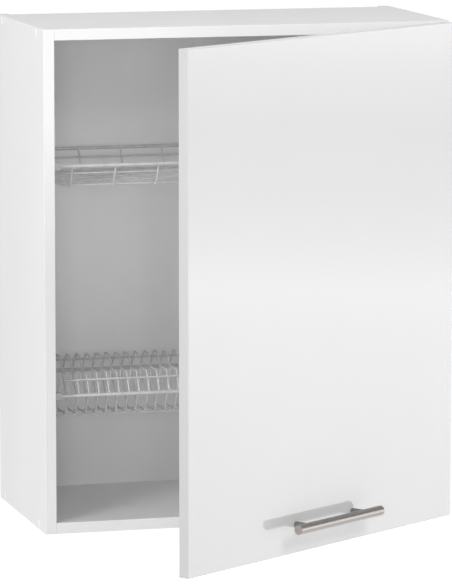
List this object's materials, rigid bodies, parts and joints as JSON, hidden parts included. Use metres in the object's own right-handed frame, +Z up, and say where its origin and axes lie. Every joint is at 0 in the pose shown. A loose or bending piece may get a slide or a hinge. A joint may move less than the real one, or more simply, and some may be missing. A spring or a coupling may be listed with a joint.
{
  "type": "dish drying cabinet",
  "caption": "Wall-hung kitchen cabinet with one hinged door, a lift-out wire plate rack and a lift-out wire cup rack for drying dishes.",
  "frame": {"origin": "on the wall plane at the sides' rear edges, midway between the bearing edges of the two wall hooks", "axes": "+X to the right as seen from the front, +Y towards the wall, +Z up"},
  "size_m": [0.6012, 0.6584, 0.72],
  "materials": {
    "white_board": "satin melamine face on chipboard",
    "white_hardboard": "satin lacquered hardboard",
    "white_plastic": "satin",
    "rack_wire": "bright plated wire",
    "handle_metal": "satin nickel",
    "hinge_steel": "nickel plated",
    "zinc_steel": "zinc plated"
  },
  "bodies": {
    "carcase": {"left_side_panel": "white_board", "right_side_panel": "white_board", "top_panel": "white_board", "bottom_panel": "white_board", "back_panel_left": "white_hardboard", "back_panel_right": "white_hardboard", "back_joining_strip": "white_plastic", "screw_caps": "white_plastic", "plate_rack_holders": "white_plastic", "cup_rack_holders": "white_plastic", "holder_pins": "white_plastic", "left_hanger_housing": "white_plastic", "right_hanger_housing": "white_plastic", "lower_hinge_arm": "hinge_steel", "upper_hinge_arm": "hinge_steel", "lower_hinge_plate": "hinge_steel", "upper_hinge_plate": "hinge_steel", "carcase_screws": "zinc_steel", "hanger_screws": "zinc_steel", "hanger_adjusters": "zinc_steel", "left_hanger_hook": "zinc_steel", "right_hanger_hook": "zinc_steel", "hinge_plate_screws": "zinc_steel", "hinge_arm_screws": "zinc_steel"},
    "door": {"door_panel": "white_board", "handle_bar": "handle_metal", "handle_posts": "handle_metal", "handle_screws": "zinc_steel", "lower_hinge_cup": "hinge_steel", "upper_hinge_cup": "hinge_steel", "lower_cup_pins": "hinge_steel", "upper_cup_pins": "hinge_steel", "hinge_cup_screws": "zinc_steel"},
    "long_links": {"lower_long_link": "hinge_steel", "upper_long_link": "hinge_steel"},
    "short_links": {"lower_short_link": "hinge_steel", "upper_short_link": "hinge_steel"},
    "plate_rack": {"plate_rack_wires": "rack_wire", "plate_rack_rails": "rack_wire", "plate_rack_stringers": "rack_wire", "plate_rack_bottom_wires": "rack_wire"},
    "cup_rack": {"cup_rack_cross_wires": "rack_wire", "cup_rack_rails": "rack_wire", "cup_rack_stringers": "rack_wire", "cup_rack_base_wires": "rack_wire"}
  },
  "joints": [
    {"name": "door_hinge", "type": "hinge", "parent": "carcase", "child": "door", "pos_m": [0.29225, -0.3115, -0.315], "axis": [0, 0, 1], "range_deg": [-35.4, 69.6]},
    {"name": "long_link_pivot", "type": "hinge", "parent": "door", "child": "long_links", "pos_m": [0.28474, -0.31143, -0.315], "axis": [0, 0, 1], "range_deg": [-55.3, 28.37]},
    {"name": "short_link_pivot", "type": "hinge", "parent": "door", "child": "short_links", "pos_m": [0.28236, -0.31538, -0.315], "axis": [0, 0, 1], "range_deg": [-57.32, 29.4]},
    {"name": "plate_rack_lift", "type": "slide", "parent": "carcase", "child": "plate_rack", "axis": [0, 0, 1], "range_m": [0, 0.025]},
    {"name": "cup_rack_lift", "type": "slide", "parent": "carcase", "child": "cup_rack", "axis": [0, 0, 1], "range_m": [0, 0.025]}
  ],
  "couplings": [
    {"joint": "long_link_pivot", "follows": "door_hinge", "ratio": -0.7873},
    {"joint": "short_link_pivot", "follows": "door_hinge", "ratio": -0.8164}
  ]
}
